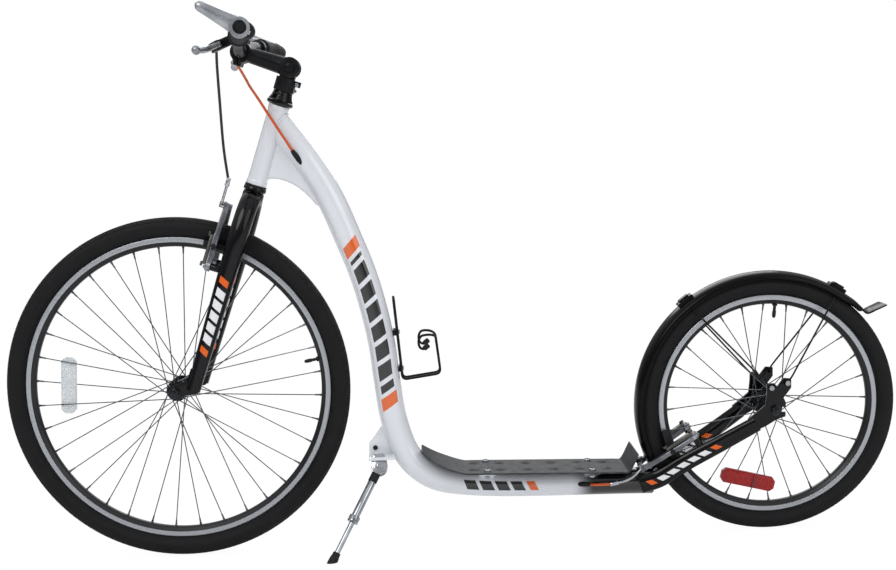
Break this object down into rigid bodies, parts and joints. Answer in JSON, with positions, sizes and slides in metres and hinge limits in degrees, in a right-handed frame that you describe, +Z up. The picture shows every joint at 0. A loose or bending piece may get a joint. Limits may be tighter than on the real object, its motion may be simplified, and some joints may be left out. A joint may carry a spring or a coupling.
{
  "type": "kick bike",
  "caption": "Foot-powered scooter with a large front and a small rear spoked wheel, low deck, rim brakes, tilting stem, bottle cage, rear mudguard and side stand.",
  "frame": {"origin": "on the ground under the middle of the object's bounding box", "axes": "+X towards the rear wheel, +Y towards the rider's right, +Z up; the bike leans two degrees onto its side stand"},
  "size_m": [1.684, 0.6122, 1.0145],
  "materials": {
    "frame_paint": "gloss",
    "black_paint": "gloss",
    "deck_steel": "satin",
    "black_wire": "satin",
    "gloss_plastic": "gloss",
    "orange_cable": "satin",
    "black_cable": "satin",
    "bright_steel": "polished",
    "chrome_plate": "polished",
    "silver_alloy": "brushed",
    "black_alloy": "anodised satin",
    "grip_rubber": "matte",
    "tyre_rubber": "matte",
    "clear_lens": "gloss",
    "red_lens": "gloss"
  },
  "bodies": {
    "frame": {"main_tube": "frame_paint", "head_tube": "frame_paint", "chainstay_left": "black_paint", "chainstay_right": "black_paint", "deck_plate": "deck_steel", "deck_bolt_front_left": "bright_steel", "deck_bolt_front_right": "bright_steel", "deck_bolt_rear_left": "bright_steel", "deck_bolt_rear_right": "bright_steel", "bottle_cage": "black_wire", "mudguard": "gloss_plastic", "mudguard_stay_front": "black_wire", "mudguard_stay_rear": "black_wire", "headset_cup_lower": "black_paint", "headset_cup_upper": "black_paint", "rear_brake_cable": "orange_cable", "rear_axle": "bright_steel", "rear_brake_noodle": "bright_steel"},
    "steering": {"fork": "black_paint", "headset_cover": "black_paint", "stem_clamp": "black_alloy", "front_axle": "bright_steel", "front_brake_noodle": "bright_steel", "rear_cable_at_head": "orange_cable"},
    "bars": {"stem_arm": "black_alloy", "stem_faceplate": "black_alloy", "stem_pivot_bolt": "bright_steel", "handlebar": "black_alloy", "grip_left": "grip_rubber", "grip_right": "grip_rubber", "bar_end_left": "silver_alloy", "bar_end_right": "silver_alloy", "brake_lever_body_left": "black_alloy", "brake_lever_body_right": "black_alloy", "front_brake_cable": "black_cable", "rear_cable_at_lever": "orange_cable"},
    "left_lever": {"brake_lever_blade_left": "silver_alloy"},
    "right_lever": {"brake_lever_blade_right": "silver_alloy"},
    "front_wheel": {"front_tyre": "tyre_rubber", "front_rim": "silver_alloy", "front_hub_and_spokes": "silver_alloy", "front_valve": "grip_rubber", "front_reflector": "clear_lens"},
    "rear_wheel": {"rear_tyre": "tyre_rubber", "rear_rim": "silver_alloy", "rear_hub_and_spokes": "silver_alloy", "rear_valve": "grip_rubber", "rear_reflector": "red_lens"},
    "kickstand": {"stand_upper_leg": "chrome_plate", "stand_lower_leg": "chrome_plate", "stand_foot": "grip_rubber"},
    "front_arm_left": {"front_brake_arm_left": "silver_alloy", "front_brake_pad_left": "grip_rubber"},
    "front_arm_right": {"front_brake_arm_right": "silver_alloy", "front_brake_pad_right": "grip_rubber"},
    "rear_arm_left": {"rear_brake_arm_left": "silver_alloy", "rear_brake_pad_left": "grip_rubber"},
    "rear_arm_right": {"rear_brake_arm_right": "silver_alloy", "rear_brake_pad_right": "grip_rubber"}
  },
  "joints": [
    {"name": "steer", "type": "hinge", "parent": "frame", "child": "steering", "pos_m": [-0.35161, 0.01041, 0.69837], "axis": [0.3371, -0.0329, 0.9409], "range_deg": [-60, 60], "deforming": ["rear_cable_at_head"]},
    {"name": "stem_tilt", "type": "hinge", "parent": "steering", "child": "bars", "pos_m": [-0.27643, 0.00308, 0.90819], "axis": [0, 0.9994, 0.0349], "range_deg": [0, 60], "deforming": ["front_brake_cable", "rear_cable_at_lever"]},
    {"name": "front_wheel_spin", "type": "hinge", "parent": "steering", "child": "front_wheel", "pos_m": [-0.519, 0.02351, 0.32305], "axis": [0, 0.9994, 0.0349], "continuous": true},
    {"name": "rear_wheel_spin", "type": "hinge", "parent": "frame", "child": "rear_wheel", "pos_m": [0.598, 0.02627, 0.2441], "axis": [0, 0.9994, 0.0349], "continuous": true},
    {"name": "kickstand_fold", "type": "hinge", "parent": "frame", "child": "kickstand", "pos_m": [-0.148, -0.00578, 0.15893], "axis": [0.0682, -0.8989, 0.4328], "range_deg": [0, 100]},
    {"name": "left_lever_pull", "type": "hinge", "parent": "bars", "child": "left_lever", "pos_m": [-0.38424, -0.16265, 0.9355], "axis": [-0.3734, -0.0665, 0.9253], "range_deg": [0, 25], "stiffness_Nm_per_rad": 2, "springref_deg": -17.19},
    {"name": "right_lever_pull", "type": "hinge", "parent": "bars", "child": "right_lever", "pos_m": [-0.38424, 0.1665, 0.94699], "axis": [0.3734, -0.0018, -0.9277], "range_deg": [0, 25], "stiffness_Nm_per_rad": 2, "springref_deg": -17.19},
    {"name": "front_brake_left_pivot", "type": "hinge", "parent": "steering", "child": "front_arm_left", "pos_m": [-0.43957, -0.02851, 0.5521], "axis": [-0.9415, -0.0118, 0.3369], "range_deg": [0, 3.1]},
    {"name": "front_brake_right_pivot", "type": "hinge", "parent": "steering", "child": "front_arm_right", "pos_m": [-0.43957, 0.05943, 0.55517], "axis": [0.9415, 0.0118, -0.3369], "range_deg": [0, 3.1]},
    {"name": "rear_brake_right_pivot", "type": "hinge", "parent": "frame", "child": "rear_arm_right", "pos_m": [0.452, 0.07209, 0.19266], "axis": [-0.5505, -0.0291, 0.8343], "range_deg": [0, 3.1]},
    {"name": "rear_brake_left_pivot", "type": "hinge", "parent": "frame", "child": "rear_arm_left", "pos_m": [0.452, -0.01585, 0.18959], "axis": [0.5505, 0.0291, -0.8343], "range_deg": [0, 3.1]}
  ],
  "couplings": [
    {"joint": "front_brake_left_pivot", "follows": "left_lever_pull", "ratio": 0.12},
    {"joint": "front_brake_right_pivot", "follows": "left_lever_pull", "ratio": 0.12},
    {"joint": "rear_brake_right_pivot", "follows": "right_lever_pull", "ratio": 0.12},
    {"joint": "rear_brake_left_pivot", "follows": "right_lever_pull", "ratio": 0.12}
  ]
}
